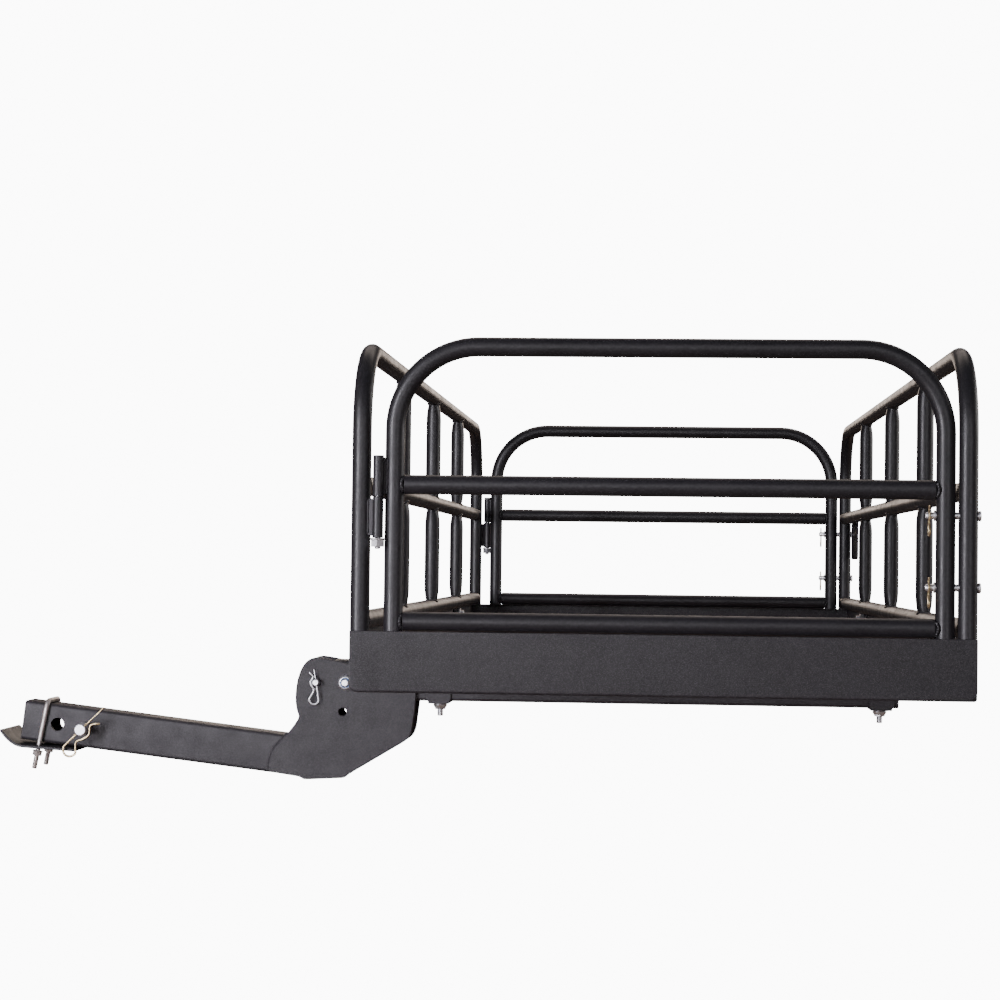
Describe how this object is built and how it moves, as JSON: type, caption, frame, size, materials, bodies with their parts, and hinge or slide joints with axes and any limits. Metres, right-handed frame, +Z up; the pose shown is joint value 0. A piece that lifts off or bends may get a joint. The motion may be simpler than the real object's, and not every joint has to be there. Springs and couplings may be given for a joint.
{
  "type": "hitch cargo carrier",
  "caption": "Folding hitch-mounted cargo basket: a tilted square shank, a fold-up beam, a deep-rimmed tray and tube sides with swing-open end gates.",
  "frame": {"origin": "centre of the square shank on the axis of the hitch pin", "axes": "+X from the vehicle towards the carrier's rear, +Y across the vehicle along the carrier's long side, +Z up with the tray level"},
  "size_m": [1.1627, 1.5336, 0.5053],
  "materials": {
    "tube_coat": "satin black powder coat",
    "tray_coat": "matt charcoal powder coat with a fine texture",
    "plate_coat": "matt charcoal powder coat",
    "zinc_plate": "bright zinc plate",
    "yellow_zinc": "yellow passivated zinc plate"
  },
  "bodies": {
    "shank": {"shank_tube": "plate_coat", "anti_rattle_plate": "plate_coat", "u_bolt": "zinc_plate", "u_bolt_nut_near": "zinc_plate", "u_bolt_nut_far": "zinc_plate", "hitch_pin": "zinc_plate", "hitch_pin_clip": "yellow_zinc", "bracket_plate_near": "plate_coat", "bracket_plate_far": "plate_coat", "lock_pin": "zinc_plate", "lock_pin_clip": "zinc_plate", "pivot_bolt": "zinc_plate", "pivot_nut": "zinc_plate"},
    "carrier": {"beam_bolt_front": "zinc_plate", "beam_bolt_rear": "zinc_plate", "beam_nut_front": "zinc_plate", "beam_nut_rear": "zinc_plate", "clamp_plate_front": "plate_coat", "clamp_plate_rear": "plate_coat", "far_hinge_bolt": "zinc_plate", "far_hinge_knuckle_lower": "tube_coat", "far_latch_head_lower": "zinc_plate", "far_latch_head_upper": "zinc_plate", "floor_panel": "tray_coat", "front_bottom_rail": "tube_coat", "front_hoop": "tube_coat", "front_spindles": "tube_coat", "licence_plate_bracket": "tube_coat", "main_beam": "plate_coat", "near_hinge_bolt": "zinc_plate", "near_hinge_knuckle_lower": "tube_coat", "near_latch_head_lower": "zinc_plate", "near_latch_head_upper": "zinc_plate", "rail_bolt_front_far": "zinc_plate", "rail_bolt_front_near": "zinc_plate", "rail_bolt_rear_far": "zinc_plate", "rail_bolt_rear_near": "zinc_plate", "rear_bottom_rail": "tube_coat", "rear_hoop": "tube_coat", "rear_spindles": "tube_coat", "rim_far": "tray_coat", "rim_front": "tray_coat", "rim_near": "tray_coat", "rim_rear": "tray_coat"},
    "near_gate": {"near_gate_bottom_rail": "tube_coat", "near_gate_hoop": "tube_coat", "near_gate_mid_rail": "tube_coat", "near_hinge_knuckle_upper": "tube_coat", "near_latch_clip_lower": "yellow_zinc", "near_latch_clip_upper": "yellow_zinc", "near_latch_tail_lower": "zinc_plate", "near_latch_tail_upper": "zinc_plate"},
    "far_gate": {"far_gate_bottom_rail": "tube_coat", "far_gate_hoop": "tube_coat", "far_gate_mid_rail": "tube_coat", "far_hinge_knuckle_upper": "tube_coat", "far_latch_clip_lower": "yellow_zinc", "far_latch_clip_upper": "yellow_zinc", "far_latch_tail_lower": "zinc_plate", "far_latch_tail_upper": "zinc_plate"}
  },
  "joints": [
    {"name": "carrier_fold", "type": "hinge", "parent": "shank", "child": "carrier", "pos_m": [0.3405, 0, 0.065], "axis": [0, -1, 0], "range_deg": [0, 84]},
    {"name": "near_gate_swing", "type": "hinge", "parent": "carrier", "child": "near_gate", "pos_m": [0.4645, -0.759, 0.2859], "axis": [0, 0, -1], "range_deg": [0, 165]},
    {"name": "far_gate_swing", "type": "hinge", "parent": "carrier", "child": "far_gate", "pos_m": [0.4645, 0.759, 0.2859], "axis": [0, 0, 1], "range_deg": [0, 165]}
  ]
}
